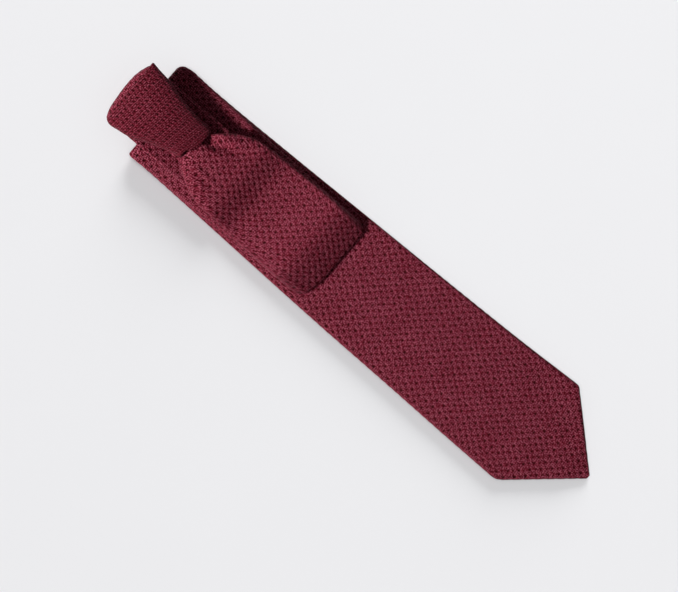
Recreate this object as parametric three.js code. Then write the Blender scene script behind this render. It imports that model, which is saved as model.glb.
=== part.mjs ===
// A knotted necktie, folded in three for display.
//
// The blade lies face up on the table with its point at +X. It folds back under the knot, folds
// forward again and runs into a four-in-hand knot. The neck loop is pressed flat and folded
// twice beneath the knot, and the narrow tail lies between the upper blade and the layers below.
// Millimetres, +Z up. The origin is the bottom centre of the whole object's box.

import * as THREE from "three";
import { mergeVertices } from "three/addons/utils/BufferGeometryUtils.js";

// ---- Driving dimensions ---------------------------------------------------------------------

const AIR = 0.3; // clearance between pieces that touch
const SILK = 0.6; // one layer of the woven outer cloth
const BAND_SILK = 0.45; // the same cloth, pressed thin at the neck

// The blade: the bottom layer, from the first fold to the point.
const TIP_X = 192.75;
const SHOULDER_X = 150;
const BLADE_START_X = -158;
const BLADE_THICK = 4.2;
const BLADE_START_WIDTH = 66.8;
const SHOULDER_WIDTH = 80.6;
const BLADE_START_Y = -1.1; // the centre line bows a little towards +Y at the point
const BLADE_MIDDLE_Y = -1.5;
const SHOULDER_Y = 0;
const TIP_Y = -0.3;
const TIP_WIDTH = 3;
const TIP_THICK = 2.4;
const SEAM = 0.6; // half the opening between the two back flaps
const HEM = 13; // the flaps' width along the point's edges
const OPENING_X = 92; // where the back flaps part towards the point
const RECESS = 1.3; // how far the back rises over the keeper and the label
const TACK_RECESS = 0.9;

// The middle layer, back up, between the two folds.
const MIDDLE_END_X = -32;
const LAYER_THICK = 3.6;
const MIDDLE_BOTTOM = BLADE_THICK + AIR;
const MIDDLE_TOP = MIDDLE_BOTTOM + LAYER_THICK;
const MIDDLE_END_WIDTH = 61.4;
const FOLD_END_Y = -2;

// The two folds of the blade.
const BACK_FOLD_X = -177;
const BACK_FOLD_LOW_X = -165;
const BACK_FOLD_CORNER = 5.5;
const FRONT_FOLD_X = -17.75;
const FRONT_FOLD_CORNER = 4;

// The neck loop: a flat band that runs twice under the knot, its two sides stacked.
const BAND_WIDTH = 35;
const BAND_THICK = 1.9;
const BAND_LEFT_LOW_Y = -26;
const BAND_RIGHT_LOW_Y = -16.5;
const BAND_START_X = -186;
const BAND_END_X = -108.6;
const BAND_LEVELS = [0, 1, 2, 3].map((k) => MIDDLE_TOP + AIR + k * (BAND_THICK + AIR));
const PACK_TOP = BAND_LEVELS[3] + BAND_THICK;

// The knot.
const KNOT_START_X = -186;
const KNOT_END_X = -131.25;
const KNOT_BOTTOM = PACK_TOP + AIR;
const BACK_WRAP_THICK = 2.4;
const WRAP_BOTTOM = KNOT_BOTTOM + BACK_WRAP_THICK + 0.4;
const WRAP_THICK = 2.5;
const BEND_CENTRE_Z = 19.2;
const BEND_CENTRE_X = -186.35;

// The upper layer, from the knot to the second fold.
const UPPER_START_X = -130.9;
const UPPER_RAISED_BOTTOM = 20.2;
const UPPER_FLAT_BOTTOM = 12;

// The tail.
const TAIL_WIDTH = 36;
const TAIL_THICK = 2.4;
const TAIL_SILK = 0.5;
const TAIL_TIP_X = -33;
const TAIL_Y = -1.5;
const TAIL_RAISED_BOTTOM = KNOT_BOTTOM;
const TAIL_FLAT_BOTTOM = 8.9;

const THREAD_RADIUS = 0.22;

// ---- Helpers --------------------------------------------------------------------------------

const ease = (t) => {
  const s = THREE.MathUtils.clamp(t, 0, 1);
  return s * s * (3 - 2 * s);
};

// Straight-line interpolation through a few [x, value] points.
function through(points, x) {
  const last = points.length - 1;
  if (x <= points[0][0]) return points[0][1];
  if (x >= points[last][0]) return points[last][1];
  const k = points.findIndex((p) => p[0] > x);
  const [x0, v0] = points[k - 1];
  const [x1, v1] = points[k];
  return v0 + ((v1 - v0) * (x - x0)) / (x1 - x0);
}

// Joins equal closed outlines at each station into one closed solid. An outline runs along one
// side of the section and back along the other, so its ends close as a strip across it.
function loft(stations, outline, place) {
  const outlines = stations.map((s) => {
    const loop = outline(s).map(([a, b]) => new THREE.Vector2(a, b));
    return THREE.ShapeUtils.isClockWise(loop) ? loop.reverse() : loop;
  });
  const count = outlines[0].length;
  const positions = outlines.flatMap((loop, k) => loop.flatMap((p) => place(stations[k], p.x, p.y)));
  const index = [];
  for (let k = 0; k + 1 < stations.length; k++) {
    for (let i = 0; i < count; i++) {
      const a = k * count + i;
      const b = k * count + ((i + 1) % count);
      index.push(a, b, b + count, a, b + count, a + count);
    }
  }
  const cap = (start, forwards) => {
    for (let i = 0; i < Math.floor((count - 1) / 2); i++) {
      const [a, b] = [start + i, start + i + 1];
      const [c, d] = [start + count - 2 - i, start + count - 1 - i];
      const faces = b === c ? [[a, b, d]] : [[a, b, c], [a, c, d]];
      faces.forEach((face) => index.push(...(forwards ? face : face.reverse())));
    }
  };
  cap(0, false);
  cap((stations.length - 1) * count, true);
  const geometry = new THREE.BufferGeometry();
  geometry.setAttribute("position", new THREE.Float32BufferAttribute(positions, 3));
  geometry.setIndex(index);
  return facingOut(geometry);
}

// Merges shared corners and turns the faces outwards.
function facingOut(source) {
  const bare = source.clone();
  bare.deleteAttribute("normal");
  bare.deleteAttribute("uv");
  bare.clearGroups();
  const geometry = mergeVertices(bare, 1e-4);
  const p = geometry.attributes.position;
  const index = geometry.index;
  const [a, b, c] = [new THREE.Vector3(), new THREE.Vector3(), new THREE.Vector3()];
  let volume = 0;
  for (let i = 0; i < index.count; i += 3) {
    a.fromBufferAttribute(p, index.getX(i));
    b.fromBufferAttribute(p, index.getX(i + 1));
    c.fromBufferAttribute(p, index.getX(i + 2));
    volume += a.dot(b.cross(c));
  }
  if (volume < 0) {
    for (let i = 0; i < index.count; i += 3) {
      const first = index.getX(i);
      index.setX(i, index.getX(i + 1));
      index.setX(i + 1, first);
    }
  }
  geometry.computeVertexNormals();
  return geometry;
}

const alongX = (x, y, z) => [x, y, z];
const alongY = (y, x, z) => [x, y, z];

// Evenly spaced stations, both ends included.
const steps = (from, to, count) =>
  Array.from({ length: count + 1 }, (_, k) => from + ((to - from) * k) / count);

// A flat plate with the given plan outline.
function plate(outline, bottom, thick) {
  const shape = new THREE.Shape(outline.map(([x, y]) => new THREE.Vector2(x, y)));
  const geometry = new THREE.ExtrudeGeometry(shape, { depth: thick, bevelEnabled: false });
  geometry.translate(0, 0, bottom);
  return facingOut(geometry);
}

const ROLL_STEPS = 5;

// Half a turn around a rolled edge; side is +1 for the +Y edge, and it runs from bottom to top.
function roll(y, z, radius, side) {
  return Array.from({ length: ROLL_STEPS + 1 }, (_, k) => {
    const angle = -Math.PI / 2 + (Math.PI * k) / ROLL_STEPS;
    return [y + side * radius * Math.cos(angle), z + radius * Math.sin(angle)];
  });
}

// The end-on outline of a sleeve of cloth: one face, two rolled edges, and two back flaps that
// leave a seam open between them. lift raises the flaps over whatever is stitched to the back.
function sleeve({ low, high, bottom, top, wall, seam, lift = 0, backUp = false }) {
  const middle = (low + high) / 2;
  const z = (top + bottom) / 2;
  const radius = (top - bottom) / 2;
  const reach = (high - low) / 2 - radius;
  const flap = (side, inset) => {
    const at = (share) => middle + side * (seam + (reach - seam) * share);
    return [
      [at(0), bottom + inset + lift],
      [at(0.85), bottom + inset + lift],
      [at(0.95), bottom + inset],
    ];
  };
  const outer = [
    ...flap(1, 0),
    ...roll(middle + reach, z, radius, 1),
    ...roll(middle - reach, z, radius, -1).reverse(),
    ...flap(-1, 0).reverse(),
  ];
  const inner = [
    ...flap(-1, wall),
    ...roll(middle - reach, z, radius - wall, -1),
    ...roll(middle + reach, z, radius - wall, 1).reverse(),
    ...flap(1, wall).reverse(),
  ];
  const loop = [...outer, ...inner];
  return backUp ? loop.map(([y, height]) => [y, top + bottom - height]) : loop;
}

// A thread of six sides along a few points.
function thread(points) {
  const path = new THREE.CatmullRomCurve3(points.map((p) => new THREE.Vector3(...p)));
  const section = new THREE.Shape(
    steps(0, 5, 5).map((k) => {
      const angle = (Math.PI * k) / 3;
      return new THREE.Vector2(THREAD_RADIUS * Math.cos(angle), THREAD_RADIUS * Math.sin(angle));
    }),
  );
  const geometry = new THREE.ExtrudeGeometry(section, {
    steps: 6 * (points.length - 1),
    extrudePath: path,
    bevelEnabled: false,
  });
  return facingOut(geometry);
}

// ---- Materials and assembly -----------------------------------------------------------------

const FINISHES = {
  silk: { color: 0x5d242e, roughness: 0.8 },
  lining: { color: 0x4a1c26, roughness: 0.5 },
  wool: { color: 0xd9d2c0, roughness: 1 },
  label: { color: 0x2a1216, roughness: 0.6 },
  thread: { color: 0x541f29, roughness: 0.7 },
};

const tie = new THREE.Group();

function add(name, finish, geometry) {
  const material = new THREE.MeshStandardMaterial({ ...FINISHES[finish], metalness: 0 });
  const mesh = new THREE.Mesh(geometry, material);
  mesh.name = name;
  tie.add(mesh);
}

// ---- The blade ------------------------------------------------------------------------------

const bladeMiddleY = (x) =>
  x < 0
    ? through([[BLADE_START_X, BLADE_START_Y], [0, BLADE_MIDDLE_Y]], x)
    : through([[20, BLADE_MIDDLE_Y], [100, -0.8], [SHOULDER_X, SHOULDER_Y], [TIP_X, TIP_Y]], x);

const bladeWidth = (x) =>
  through([[BLADE_START_X, BLADE_START_WIDTH], [SHOULDER_X, SHOULDER_WIDTH], [TIP_X, TIP_WIDTH]], x);

const bladeTop = (x) => through([[184, BLADE_THICK], [TIP_X, TIP_THICK]], x);

const bladeLift = (x) =>
  through([[-81, 0], [-75, RECESS], [-18, RECESS], [-12, 0], [75, 0], [81, TACK_RECESS],
    [87, TACK_RECESS], [91, 0]], x);

function bladeSeam(x) {
  const opened = SEAM + 0.44 * Math.max(0, x - OPENING_X);
  const hem = bladeWidth(x) / 2 - HEM;
  return Math.max(Math.min(opened, hem), x > 180 ? 0.1 : SEAM);
}

function blade() {
  const stations = [BLADE_START_X, -81, -75, -18, -12, 0, 20, 75, 81, 87, 91, OPENING_X, 100, 125,
    SHOULDER_X, 165, 178, 184, 188, TIP_X];
  const outline = (x) =>
    sleeve({
      low: bladeMiddleY(x) - bladeWidth(x) / 2,
      high: bladeMiddleY(x) + bladeWidth(x) / 2,
      bottom: 0,
      top: bladeTop(x),
      wall: SILK,
      seam: bladeSeam(x),
      lift: bladeLift(x),
    });
  add("blade_shell", "silk", loft(stations, outline, alongX));

  // Pieces inside the shell follow its outline at a distance.
  const inside = (fromX, toX, inset) => {
    const xs = [fromX, 20, 100, SHOULDER_X - inset * 0.4, toX].filter((x, k) => k === 0 || x > fromX);
    const edge = (side) =>
      xs.map((x) => [x, bladeMiddleY(x) + side * Math.max(bladeWidth(x) / 2 - inset, 2)]);
    return [...edge(-1), ...edge(1).reverse()];
  };
  add("blade_interlining", "wool", plate(inside(BLADE_START_X, 181, 3.2), 2.2, 1.1));
  add("blade_tipping", "lining", plate(inside(94, 182, 3.4), SILK + AIR, 0.4));

  const keeper = [[-22, 1], [-22, 0.1], [22, 0.1], [22, 1], [18, 1], [18, 0.6], [-18, 0.6], [-18, 1]];
  const keeperOutline = () => keeper.map(([y, z]) => [y + BLADE_MIDDLE_Y, z]);
  add("keeper_loop", "silk", loft([-66, -54], keeperOutline, alongX));

  const labelOutline = [[-48, -28], [-26, -28], [-26, 26], [-48, 26]];
  add("maker_label", "label", plate(labelOutline, 0.55, 0.4));

  const tack = [[82, -6.5], [86, -6.5], [86, 4], [82, 4]];
  add("blade_bar_tack", "thread", plate(tack, 0.05, 0.5));

  const seamXs = [-157, -120, -84, -74, -50, -19, -9, 30, 72, 82, 89];
  const seamLine = seamXs.map((x) => [x, bladeMiddleY(x), bladeLift(x) + SILK / 2]);
  add("slip_stitch_blade", "thread", thread(seamLine));
}

// ---- The middle layer and the blade's folds -------------------------------------------------

const layerWidth = (x) =>
  through([[BLADE_START_X, BLADE_START_WIDTH], [MIDDLE_END_X, MIDDLE_END_WIDTH]], x);
const layerMiddleY = (x) => through([[BLADE_START_X, BLADE_START_Y], [MIDDLE_END_X, FOLD_END_Y]], x);

function middleLayer() {
  const stations = [BLADE_START_X, MIDDLE_END_X];
  const edges = (x) => [layerMiddleY(x) - layerWidth(x) / 2, layerMiddleY(x) + layerWidth(x) / 2];
  const outline = (x) => {
    const [low, high] = edges(x);
    return sleeve({
      low,
      high,
      bottom: MIDDLE_BOTTOM,
      top: MIDDLE_TOP,
      wall: SILK,
      seam: SEAM,
      backUp: true,
    });
  };
  add("middle_shell", "silk", loft(stations, outline, alongX));

  const inset = 1.6;
  const filling = stations.map((x) => edges(x));
  const plan = [
    [stations[0], filling[0][0] + inset],
    [stations[1], filling[1][0] + inset],
    [stations[1], filling[1][1] - inset],
    [stations[0], filling[0][1] - inset],
  ];
  const wool = LAYER_THICK - 2 * (SILK + AIR);
  add("middle_interlining", "wool", plate(plan, MIDDLE_BOTTOM + SILK + AIR, wool));

  const seamLine = [-157, -95, -33].map((x) => [x, layerMiddleY(x), MIDDLE_TOP - SILK / 2]);
  add("slip_stitch_middle", "thread", thread(seamLine));
}

// A fold of the blade, seen from the side: two flat stretches joined round a bend.
// side is -1 where the bend points to -X.
function foldOutline({ straightX, edgeX, lower, upper, side }) {
  const outerHeight = (upper[1] - lower[0]) / 2;
  const middle = (upper[1] + lower[0]) / 2;
  const depth = Math.min(outerHeight, Math.abs(edgeX - straightX) * 0.6);
  const slot = (upper[0] - lower[1]) / 2;
  const slotMiddle = (upper[0] + lower[1]) / 2;
  const slotDepth = Math.max(depth - (outerHeight - slot), 0.1);
  const turnX = edgeX - side * depth;
  const arc = (height, reach, z) =>
    steps(-90, 90, 8).map((degrees) => {
      const angle = THREE.MathUtils.degToRad(degrees);
      return [turnX + side * reach * Math.cos(angle), z + height * Math.sin(angle)];
    });
  return [
    [straightX, lower[0]],
    ...arc(outerHeight, depth, middle),
    [straightX, upper[1]],
    [straightX, upper[0]],
    ...arc(slot, slotDepth, slotMiddle).reverse(),
    [straightX, lower[1]],
  ];
}

// How far a rounded plan corner pulls the fold's edge in at a distance from the layer's side.
const cornerPull = (distance, radius) =>
  distance >= radius ? 0 : radius - Math.sqrt(radius ** 2 - (radius - distance) ** 2);

function folds() {
  const backLow = BLADE_START_Y - BLADE_START_WIDTH / 2 + 0.2;
  const backHigh = BLADE_START_Y + BLADE_START_WIDTH / 2 - 0.2;
  const backEdge = (y) =>
    BACK_FOLD_X +
    (BACK_FOLD_LOW_X - BACK_FOLD_X) * ease((8 - y) / 30) +
    cornerPull(backHigh - y + 0.4, BACK_FOLD_CORNER);
  const backStations = [...steps(backLow, backHigh - BACK_FOLD_CORNER, 12), backHigh - 3.5,
    backHigh - 1.8, backHigh - 0.6, backHigh];
  const back = (y) =>
    foldOutline({
      straightX: BLADE_START_X - AIR,
      edgeX: backEdge(y),
      lower: [0, BLADE_THICK],
      upper: [MIDDLE_BOTTOM, MIDDLE_TOP],
      side: -1,
    });
  add("back_fold_bend", "silk", loft(backStations, back, alongY));

  const frontLow = FOLD_END_Y - MIDDLE_END_WIDTH / 2 + 0.2;
  const frontHigh = FOLD_END_Y + MIDDLE_END_WIDTH / 2 - 0.2;
  const frontEdge = (y) =>
    FRONT_FOLD_X -
    cornerPull(Math.min(y - frontLow, frontHigh - y) + 0.4, FRONT_FOLD_CORNER);
  const frontStations = [frontLow, frontLow + 0.6, frontLow + 1.8, frontLow + FRONT_FOLD_CORNER, 0,
    frontHigh - FRONT_FOLD_CORNER, frontHigh - 1.8, frontHigh - 0.6, frontHigh];
  const front = (y) =>
    foldOutline({
      straightX: MIDDLE_END_X + AIR,
      edgeX: frontEdge(y),
      lower: [MIDDLE_BOTTOM, MIDDLE_TOP],
      upper: [UPPER_FLAT_BOTTOM, UPPER_FLAT_BOTTOM + LAYER_THICK],
      side: 1,
    });
  add("front_fold_bend", "silk", loft(frontStations, front, alongY));
}

// ---- The upper layer ------------------------------------------------------------------------

const UPPER_LOW = [[UPPER_START_X, -20.5], [-125, -24], [-120, -26.5], [-110, -29.5], [-90, -30.8],
  [MIDDLE_END_X, -32.7]];
const UPPER_HIGH = [[UPPER_START_X, 9.5], [-125, 15.5], [-120, 19.3], [-115, 22.2], [-110, 24.5],
  [-105, 25.8], [-90, 27.3], [MIDDLE_END_X, 28.7]];
const UPPER_STATIONS = [UPPER_START_X, -125, -120, -115, -110, -105, -101, -97, -93, -89, -85, -81,
  -77, MIDDLE_END_X];
const upperBottom = (x) =>
  UPPER_RAISED_BOTTOM - (UPPER_RAISED_BOTTOM - UPPER_FLAT_BOTTOM) * ease((x + 103) / 24);
const upperThick = (x) => through([[UPPER_START_X, 8.3], [-105, 4.4], [-81, LAYER_THICK]], x);

function upperLayer() {
  const outline = (x) =>
    sleeve({
      low: through(UPPER_LOW, x),
      high: through(UPPER_HIGH, x),
      bottom: upperBottom(x),
      top: upperBottom(x) + upperThick(x),
      wall: SILK,
      seam: SEAM,
    });
  add("upper_shell", "silk", loft(UPPER_STATIONS, outline, alongX));

  const filling = (x) => {
    const inset = 1.6 + (upperThick(x) - LAYER_THICK) * 0.5;
    const low = through(UPPER_LOW, x) + inset;
    const high = through(UPPER_HIGH, x) - inset;
    const bottom = upperBottom(x) + SILK + AIR;
    const top = upperBottom(x) + upperThick(x) - SILK - AIR;
    return [[low, bottom], [high, bottom], [high, top], [low, top]];
  };
  const fillingStations = UPPER_STATIONS.filter((x) => x >= -120);
  add("upper_interlining", "wool", loft(fillingStations, filling, alongX));

  const middle = (x) => (through(UPPER_LOW, x) + through(UPPER_HIGH, x)) / 2;
  const seamXs = [-119, -110, ...UPPER_STATIONS.filter((x) => x > -106 && x < -70), -60, -33];
  const seamLine = seamXs.map((x) => [x, middle(x), upperBottom(x) + SILK / 2]);
  add("slip_stitch_upper", "thread", thread(seamLine));
}

// ---- The knot -------------------------------------------------------------------------------

const KNOT_LOW = [[KNOT_START_X, -27.5], [-177, -26.7], [-166, -25], [-160, -21.5], [-145, -16],
  [KNOT_END_X, -15]];
const KNOT_HIGH = [[KNOT_START_X, 20], [-180, 18.7], [-170, 17.3], [-160, 14.7], [-150, 12.9],
  [KNOT_END_X, 10.5]];
const KNOT_TOP = [[KNOT_START_X, 28.6], [-180, 30.3], [-168, 31], [-145, 30.2], [KNOT_END_X, 29.2]];
const KNOT_STATIONS = [KNOT_START_X, -180, -173, -166, -160, -152, -145, -138, KNOT_END_X];

// A rounded arch from the low side over the top to the high side.
function arch(x, inset) {
  const low = through(KNOT_LOW, x) + inset;
  const high = through(KNOT_HIGH, x) - inset;
  const height = through(KNOT_TOP, x) - WRAP_BOTTOM - inset;
  return steps(180, 0, 12).map((degrees) => {
    const angle = THREE.MathUtils.degToRad(degrees);
    const cosine = Math.sign(Math.cos(angle)) * Math.abs(Math.cos(angle)) ** 0.75;
    return [
      (low + high) / 2 + ((high - low) / 2) * cosine,
      WRAP_BOTTOM + height * Math.sin(angle) ** 0.75,
    ];
  });
}

function knot() {
  const wrap = (x) => [...arch(x, 0), ...arch(x, WRAP_THICK).reverse()];
  add("knot_front_wrap", "silk", loft(KNOT_STATIONS, wrap, alongX));

  const coreStations = KNOT_STATIONS.map((x) => Math.min(x, KNOT_END_X - 1.5));
  const core = (x) => arch(x, WRAP_THICK + 0.5);
  add("knot_core", "silk", loft(coreStations, core, alongX));

  const backStations = KNOT_STATIONS.filter((x) => x < -137);
  const back = (x) => {
    const low = through(KNOT_LOW, x) + 1;
    const high = through(KNOT_HIGH, x) - 1;
    const middle = KNOT_BOTTOM + BACK_WRAP_THICK / 2;
    const radius = BACK_WRAP_THICK / 2;
    return [
      ...roll(high - radius, middle, radius, 1),
      ...roll(low + radius, middle, radius, -1).reverse(),
    ];
  };
  add("knot_back_wrap", "silk", loft(backStations, back, alongX));
}

// ---- The neck loop --------------------------------------------------------------------------

// One side of the band where it lies flat, with its lining of wool inside.
function bandSide(name, level, low, backUp) {
  const bottom = BAND_LEVELS[level];
  const outline = () =>
    sleeve({
      low,
      high: low + BAND_WIDTH,
      bottom,
      top: bottom + BAND_THICK,
      wall: BAND_SILK,
      seam: 0.5,
      backUp,
    });
  add(name, "silk", loft([BAND_START_X, BAND_END_X], outline, alongX));
  const plan = [
    [BAND_START_X, low + 1.2],
    [BAND_END_X, low + 1.2],
    [BAND_END_X, low + BAND_WIDTH - 1.2],
    [BAND_START_X, low + BAND_WIDTH - 1.2],
  ];
  const wool = BAND_THICK - 2 * (BAND_SILK + AIR);
  add(`${name}_interlining`, "wool", plate(plan, bottom + BAND_SILK + AIR, wool));
}

// A band turning back on itself. side is -1 where the bend points to -X; the band may drift in Y.
function bandBend(name, { x, z, radius, side, from, to }) {
  const angles = steps(-90, 90, 10);
  const outline = (degrees) => {
    const low = from + (to - from) * ease((degrees + 90) / 180);
    return [
      [low, radius],
      [low + BAND_WIDTH, radius],
      [low + BAND_WIDTH, radius + BAND_THICK],
      [low, radius + BAND_THICK],
    ];
  };
  const place = (degrees, y, r) => {
    const angle = THREE.MathUtils.degToRad(degrees);
    return [x + side * r * Math.cos(angle), y, z + r * Math.sin(angle)];
  };
  add(name, "silk", loft(angles, outline, place));
}

function neckLoop() {
  const [left, right] = [BAND_LEFT_LOW_Y, BAND_RIGHT_LOW_Y];
  bandSide("neck_right_far", 0, right, true);
  bandSide("neck_left_far", 1, left, false);
  bandSide("neck_left_near", 2, left, true);
  bandSide("neck_right_near", 3, right, false);

  // The bends at the knot, around the stack's -X end.
  const insideKnot = BEND_CENTRE_Z - PACK_TOP;
  const nearBend = { x: BEND_CENTRE_X, z: BEND_CENTRE_Z, side: -1 };
  bandBend("neck_bend_right_near", { ...nearBend, radius: insideKnot, from: right, to: right });
  const outsideKnot = insideKnot + BAND_THICK + AIR;
  bandBend("neck_bend_left_near", { ...nearBend, radius: outsideKnot, from: left, to: left });

  // The bends at the stack's +X end.
  const farZ = BAND_LEVELS[2] - AIR / 2;
  const farBend = { x: BAND_END_X + AIR, z: farZ, side: 1 };
  bandBend("neck_bend_left_far", { ...farBend, radius: AIR / 2, from: left, to: left });
  const outerTurn = AIR * 1.5 + BAND_THICK;
  bandBend("neck_bend_right_far", { ...farBend, radius: outerTurn, from: right, to: right });

  // The back of the neck, where the loop's two sides are one band.
  const turn = { x: BAND_START_X - AIR, z: BAND_LEVELS[1] - AIR / 2, side: -1 };
  bandBend("neck_turn", { ...turn, radius: AIR / 2, from: right, to: left });
}

// ---- The tail -------------------------------------------------------------------------------

const tailBottom = (x) =>
  TAIL_RAISED_BOTTOM - (TAIL_RAISED_BOTTOM - TAIL_FLAT_BOTTOM) * ease((x + 107) / 24);
const tailHalf = (x) => through([[TAIL_TIP_X - 17, TAIL_WIDTH / 2], [TAIL_TIP_X, 1.4]], x);

function tail() {
  const stations = [UPPER_START_X, -107, -103, -99, -95, -91, -87, -83, TAIL_TIP_X - 17,
    TAIL_TIP_X - 5, TAIL_TIP_X];
  const outline = (x) =>
    sleeve({
      low: TAIL_Y - tailHalf(x),
      high: TAIL_Y + tailHalf(x),
      bottom: tailBottom(x),
      top: tailBottom(x) + TAIL_THICK,
      wall: TAIL_SILK,
      seam: Math.min(SEAM, tailHalf(x) * 0.1),
    });
  add("tail_shell", "silk", loft(stations, outline, alongX));

  const filling = (x) => {
    const half = tailHalf(x) - 1.6;
    const bottom = tailBottom(x) + TAIL_SILK + AIR;
    const top = tailBottom(x) + TAIL_THICK - TAIL_SILK - AIR;
    return [[TAIL_Y - half, bottom], [TAIL_Y + half, bottom], [TAIL_Y + half, top],
      [TAIL_Y - half, top]];
  };
  const woolStations = stations.filter((x) => x > -104 && x < TAIL_TIP_X - 18);
  add("tail_interlining", "wool", loft([...woolStations, TAIL_TIP_X - 26], filling, alongX));

  const pocket = (x) => tailHalf(x) - 1.8;
  const tippingXs = [TAIL_TIP_X - 25, TAIL_TIP_X - 17, TAIL_TIP_X - 4];
  const tippingEdge = (side) => tippingXs.map((x) => [x, TAIL_Y + side * pocket(x)]);
  const tippingPlan = [...tippingEdge(-1), ...tippingEdge(1).reverse()];
  add("tail_tipping", "lining", plate(tippingPlan, TAIL_FLAT_BOTTOM + TAIL_SILK + AIR, 0.4));

  const label = [[-78, -9], [-60, -9], [-60, 1], [-78, 1]];
  const under = TAIL_FLAT_BOTTOM - AIR - 0.2;
  add("care_label", "label", plate(label, under, 0.2));

  const tack = [[-56, -5], [-53, -5], [-53, 2], [-56, 2]];
  add("tail_bar_tack", "thread", plate(tack, under, 0.2));
}

blade();
middleLayer();
folds();
upperLayer();
knot();
neckLoop();
tail();

export default tie;
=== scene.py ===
"""The looks of a knotted, folded necktie in burgundy grenadine silk.

Every cloth piece is a real sheet: an envelope of silk folded round its interlining, with its two
flaps meeting at a seam on the back. Shapes are worked out in millimetres and stored in metres.
A piece's UV map holds cloth coordinates in metres, so that the weave runs along the unrolled silk.
"""

import math

import bpy
import numpy as np
from mathutils import Matrix, Vector


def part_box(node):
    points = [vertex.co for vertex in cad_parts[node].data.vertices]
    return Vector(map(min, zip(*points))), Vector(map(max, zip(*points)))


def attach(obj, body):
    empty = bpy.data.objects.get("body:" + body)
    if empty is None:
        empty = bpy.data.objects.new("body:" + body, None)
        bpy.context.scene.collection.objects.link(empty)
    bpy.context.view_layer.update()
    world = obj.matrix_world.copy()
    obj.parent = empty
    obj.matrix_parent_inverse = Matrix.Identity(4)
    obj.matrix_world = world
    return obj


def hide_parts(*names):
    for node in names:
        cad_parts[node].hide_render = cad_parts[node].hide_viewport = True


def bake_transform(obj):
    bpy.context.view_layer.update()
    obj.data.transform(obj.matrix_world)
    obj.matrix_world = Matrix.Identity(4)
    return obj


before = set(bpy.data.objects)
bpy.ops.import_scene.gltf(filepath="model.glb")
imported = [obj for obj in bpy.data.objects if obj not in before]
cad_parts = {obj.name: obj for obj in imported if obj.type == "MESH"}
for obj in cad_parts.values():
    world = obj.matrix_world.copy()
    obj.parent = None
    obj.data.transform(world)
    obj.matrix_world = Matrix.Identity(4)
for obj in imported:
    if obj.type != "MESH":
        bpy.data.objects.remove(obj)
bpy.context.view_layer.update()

MM = 0.001
SILK = 0.6  # thickness of the outer cloth
BAND_SILK = 0.45  # and where it is pressed thin, at the neck
GRID = 0.8  # spacing of the visible cloth's vertices
COARSE = 4  # inner surfaces have one vertex for this many outer ones
WOOL_ROWS = 3  # wool has one row of vertices for this many of its silk
CREASE = math.radians(50)  # edges bent more than this are shaded sharp
RELIEF = 0.24  # depth of the weave's holes in the mesh


def span(node):
    """Lowest and highest corner of a CAD node, in millimetres."""
    low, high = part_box(node)
    return np.array(low) / MM, np.array(high) / MM


# ---- Small mathematics that works on arrays and on shader values ----


class Field:
    """A number that varies over a surface, written as shader nodes."""

    def __init__(self, tree, socket):
        self.tree, self.socket = tree, socket

    def math(self, operation, *others):
        node = self.tree.nodes.new("ShaderNodeMath")
        node.operation = operation
        for slot, value in zip(node.inputs, (self, *others)):
            if isinstance(value, Field):
                self.tree.links.new(value.socket, slot)
            else:
                slot.default_value = float(value)
        return Field(self.tree, node.outputs[0])

    def __add__(self, other):
        return self.math("ADD", other)

    def __mul__(self, other):
        return self.math("MULTIPLY", other)

    def __sub__(self, other):
        return self.math("SUBTRACT", other)

    def __rsub__(self, other):
        return (self * -1).math("ADD", other)

    def __abs__(self):
        return self.math("ABSOLUTE")

    __rmul__ = __mul__


def choose(operation, function):
    """The same function for arrays and, as shader nodes, for fields."""

    def apply(x, *others):
        return x.math(operation, *others) if isinstance(x, Field) else function(x, *others)

    return apply


floor = choose("FLOOR", np.floor)
sine = choose("SINE", np.sin)
root = choose("SQRT", np.sqrt)
largest = choose("MAXIMUM", np.maximum)


# ---- The weave ----

ROPE_STEP = (2.575, 2.45)  # from one rope of warp to the next, along and across the tie
PICK_STEP = (3.145, -2.45)  # from one weft to the next
DETERMINANT = ROPE_STEP[0] * PICK_STEP[1] - PICK_STEP[0] * ROPE_STEP[1]
SWAY = 0.2  # how far a rope swings to each side, in rope steps
ROPE = 0.54  # half a rope's width, in rope steps
PICK = 0.45  # half a weft's width, in pick steps
PICK_HEIGHT = 0.5  # a weft's height beside a rope's
AVERAGE_REACH = 0.3  # the mesh averages the weave this far to each side


def lattice(u, v):
    """Rope and pick numbers at cloth coordinates in millimetres: the cloth is cut on the bias."""
    rope = (u * PICK_STEP[1] - v * PICK_STEP[0]) * (1 / DETERMINANT)
    pick = (v * ROPE_STEP[0] - u * ROPE_STEP[1]) * (1 / DETERMINANT)
    return rope, pick


def weave(u, v):
    """Height of the grenadine, from 0 in its holes to 1 on its ropes, and the distance to a rope.

    Neighbouring ropes of twisted warp sway apart and together, and leave a hole where they part.
    """
    rope, pick = lattice(u, v)
    column = floor(rope)
    near = 0.5 - abs(rope - column - 0.5)
    aside = abs(near - SWAY * sine((pick + column + 0.5) * math.pi))
    warp = root(largest(1 - aside * aside * (1 / ROPE**2), 0.0))
    across = pick - floor(pick) - 0.5
    weft = root(largest(1 - across * across * (1 / PICK**2), 0.0)) * PICK_HEIGHT
    return largest(warp, weft), aside


def smooth_weave(u, v):
    """The weave's height averaged over the mesh's own spacing."""
    shifts = (-AVERAGE_REACH, AVERAGE_REACH)
    return sum(weave(u + a, v + b)[0] for a in shifts for b in shifts) / 4


# ---- Mesh helpers ----


def ease(t):
    t = np.clip(t, 0, 1)
    return t * t * (3 - 2 * t)


def plateau(x, start, end, rise, fall):
    """1 between start and end, eased from 0 inside both."""
    return ease((x - start) / rise) * ease((end - x) / fall)


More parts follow.
